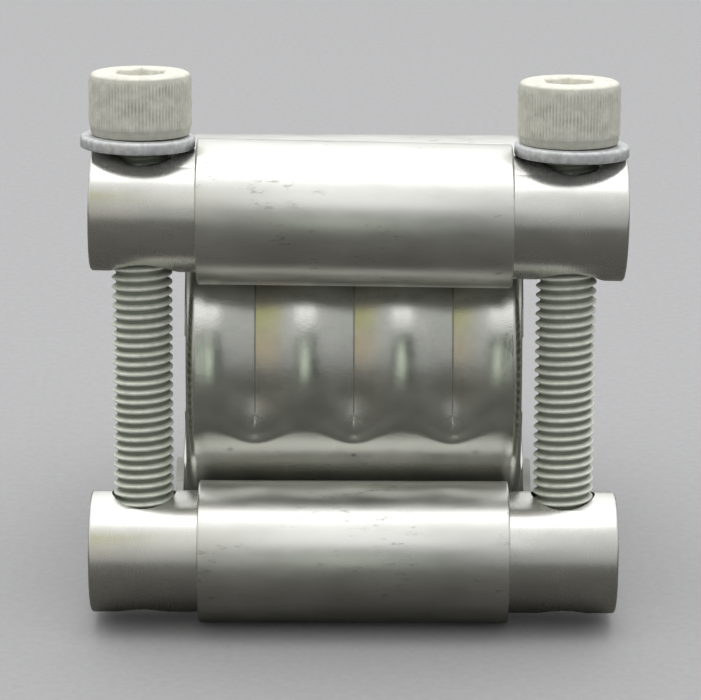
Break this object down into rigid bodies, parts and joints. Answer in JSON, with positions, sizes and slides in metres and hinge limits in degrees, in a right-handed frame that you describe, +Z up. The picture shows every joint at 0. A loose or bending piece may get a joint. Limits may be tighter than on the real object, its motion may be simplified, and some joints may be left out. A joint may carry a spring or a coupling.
{
  "type": "slit-band pipe coupling",
  "caption": "Bolted slit-band pipe coupling lying on its side: a flanged steel band round a rubber sleeve, its ends looped round lock bars that socket screws draw together.",
  "frame": {"origin": "centre of the bounding box's bottom face, on the surface the coupling lies on", "axes": "X along the pipe, +Z up; the slit, the lock bars and the screws are at the front, towards -Y; the screw heads are at the top"},
  "size_m": [0.0706, 0.0688, 0.0732],
  "materials": {
    "band_steel": "satin mill-finish stainless steel sheet",
    "plate_steel": "bright rolled stainless steel sheet",
    "bar_steel": "ground stainless steel bar",
    "screw_zinc": "matte zinc flake coating, pale grey-green",
    "washer_zinc": "dull zinc plate",
    "ring_steel": "spring stainless steel",
    "sleeve_rubber": "matte black rubber"
  },
  "bodies": {
    "band_lower": {"casing_lower": "band_steel", "bridge_plate": "plate_steel", "sealing_sleeve": "sleeve_rubber", "anchor_ring_left": "ring_steel", "anchor_ring_right": "ring_steel"},
    "band_upper": {"casing_upper": "band_steel"},
    "bar_lower": {"lock_bar_lower": "bar_steel"},
    "bar_upper": {"lock_bar_upper": "bar_steel"},
    "washer_left": {"washer_left": "washer_zinc"},
    "screw_left": {"screw_left": "screw_zinc"},
    "washer_right": {"washer_right": "washer_zinc"},
    "screw_right": {"screw_right": "screw_zinc"}
  },
  "joints": [
    {"name": "band_flex", "type": "hinge", "parent": "band_lower", "child": "band_upper", "pos_m": [-0.00001, 0.0337, 0.02475], "axis": [1, 0, 0], "range_deg": [-3, 10], "deforming": ["bridge_plate", "sealing_sleeve", "anchor_ring_left", "anchor_ring_right"]},
    {"name": "bar_lower_pivot", "type": "hinge", "parent": "band_lower", "child": "bar_lower", "pos_m": [-0.00001, -0.0251, 0.00935], "axis": [1, 0, 0], "range_deg": [-1.5, 5]},
    {"name": "bar_upper_pivot", "type": "hinge", "parent": "band_upper", "child": "bar_upper", "pos_m": [-0.00001, -0.01948, 0.0542], "axis": [1, 0, 0], "range_deg": [-5, 1.5]},
    {"name": "screw_left_feed", "type": "slide", "parent": "bar_lower", "child": "washer_left", "axis": [0, -0.1244, -0.9922], "range_m": [-0.003, 0.01]},
    {"name": "screw_left_spin", "type": "hinge", "parent": "washer_left", "child": "screw_left", "pos_m": [-0.02751, -0.02229, 0.03177], "axis": [0, -0.1244, -0.9922], "range_deg": [-864, 2880]},
    {"name": "screw_right_feed", "type": "slide", "parent": "bar_lower", "child": "washer_right", "axis": [0, -0.1244, -0.9922], "range_m": [-0.003, 0.01]},
    {"name": "screw_right_spin", "type": "hinge", "parent": "washer_right", "child": "screw_right", "pos_m": [0.02749, -0.02229, 0.03177], "axis": [0, -0.1244, -0.9922], "range_deg": [-864, 2880]}
  ],
  "couplings": [
    {"joint": "band_flex", "follows": "screw_left_spin", "ratio": 0.0034722},
    {"joint": "bar_lower_pivot", "follows": "screw_left_spin", "ratio": 0.0017361},
    {"joint": "bar_upper_pivot", "follows": "screw_left_spin", "ratio": -0.0017361},
    {"joint": "screw_left_feed", "follows": "screw_left_spin", "m_per_rad": 0.00019894},
    {"joint": "screw_right_feed", "follows": "screw_left_spin", "m_per_rad": 0.00019894},
    {"joint": "screw_right_spin", "follows": "screw_left_spin", "ratio": 1}
  ]
}
